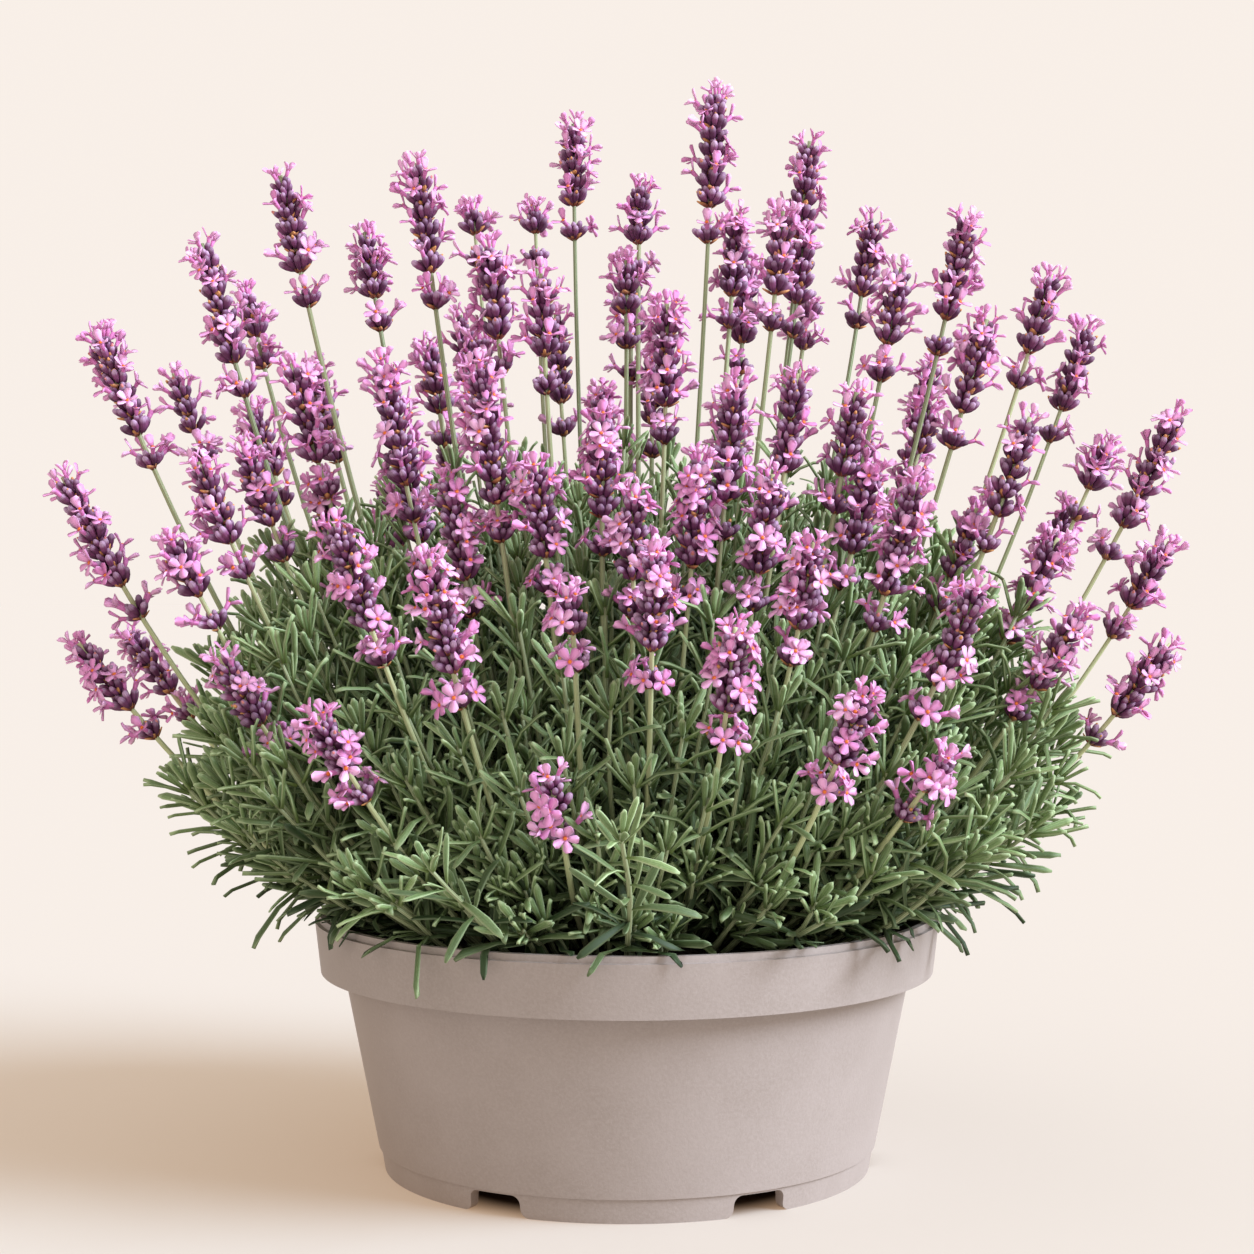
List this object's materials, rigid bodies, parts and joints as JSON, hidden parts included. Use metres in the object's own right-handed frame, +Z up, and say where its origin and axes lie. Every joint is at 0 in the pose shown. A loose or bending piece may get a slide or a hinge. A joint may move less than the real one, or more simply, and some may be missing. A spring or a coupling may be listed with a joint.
{
  "type": "potted lavender",
  "caption": "Flowering lavender in a shallow round taupe plastic bowl pot with a banded rim and notched foot, grey-green leaf mound and fanned mauve flower spikes",
  "frame": {"origin": "middle of the pot's underside, on the surface it stands on", "axes": "+Z up, -Y to the front, +X to the right seen from the front"},
  "size_m": [0.4187, 0.3378, 0.403],
  "materials": {
    "pot": "matt taupe moulded plastic with a faint grain",
    "soil": "dark moist peat compost",
    "flower": "dusky mauve calyces and pink-lilac petals on pale green stalks",
    "leaf": "grey-green felted leaves"
  },
  "bodies": {
    "root": {"pot": "pot", "soil": "soil", "flower_stem_01": "flower", "flower_stem_02": "flower", "flower_stem_03": "flower", "flower_stem_04": "flower", "flower_stem_05": "flower", "flower_stem_06": "flower", "flower_stem_07": "flower", "flower_stem_08": "flower", "flower_stem_09": "flower", "flower_stem_10": "flower", "flower_stem_11": "flower", "flower_stem_12": "flower", "flower_stem_13": "flower", "flower_stem_14": "flower", "flower_stem_15": "flower", "flower_stem_16": "flower", "flower_stem_17": "flower", "flower_stem_18": "flower", "flower_stem_19": "flower", "flower_stem_20": "flower", "flower_stem_21": "flower", "flower_stem_22": "flower", "flower_stem_23": "flower", "flower_stem_24": "flower", "flower_stem_25": "flower", "flower_stem_26": "flower", "flower_stem_27": "flower", "flower_stem_28": "flower", "flower_stem_29": "flower", "flower_stem_30": "flower", "flower_stem_31": "flower", "flower_stem_32": "flower", "flower_stem_33": "flower", "flower_stem_34": "flower", "flower_stem_35": "flower", "flower_stem_36": "flower", "flower_stem_37": "flower", "flower_stem_38": "flower", "flower_stem_39": "flower", "flower_stem_40": "flower", "flower_stem_41": "flower", "flower_stem_42": "flower", "flower_stem_43": "flower", "flower_stem_44": "flower", "flower_stem_45": "flower", "flower_stem_46": "flower", "flower_stem_47": "flower", "flower_stem_48": "flower", "leafy_shoot_01": "leaf", "leafy_shoot_02": "leaf", "leafy_shoot_03": "leaf", "leafy_shoot_04": "leaf", "leafy_shoot_05": "leaf", "leafy_shoot_06": "leaf", "leafy_shoot_07": "leaf", "leafy_shoot_08": "leaf", "leafy_shoot_09": "leaf", "leafy_shoot_10": "leaf"}
  },
  "joints": []
}
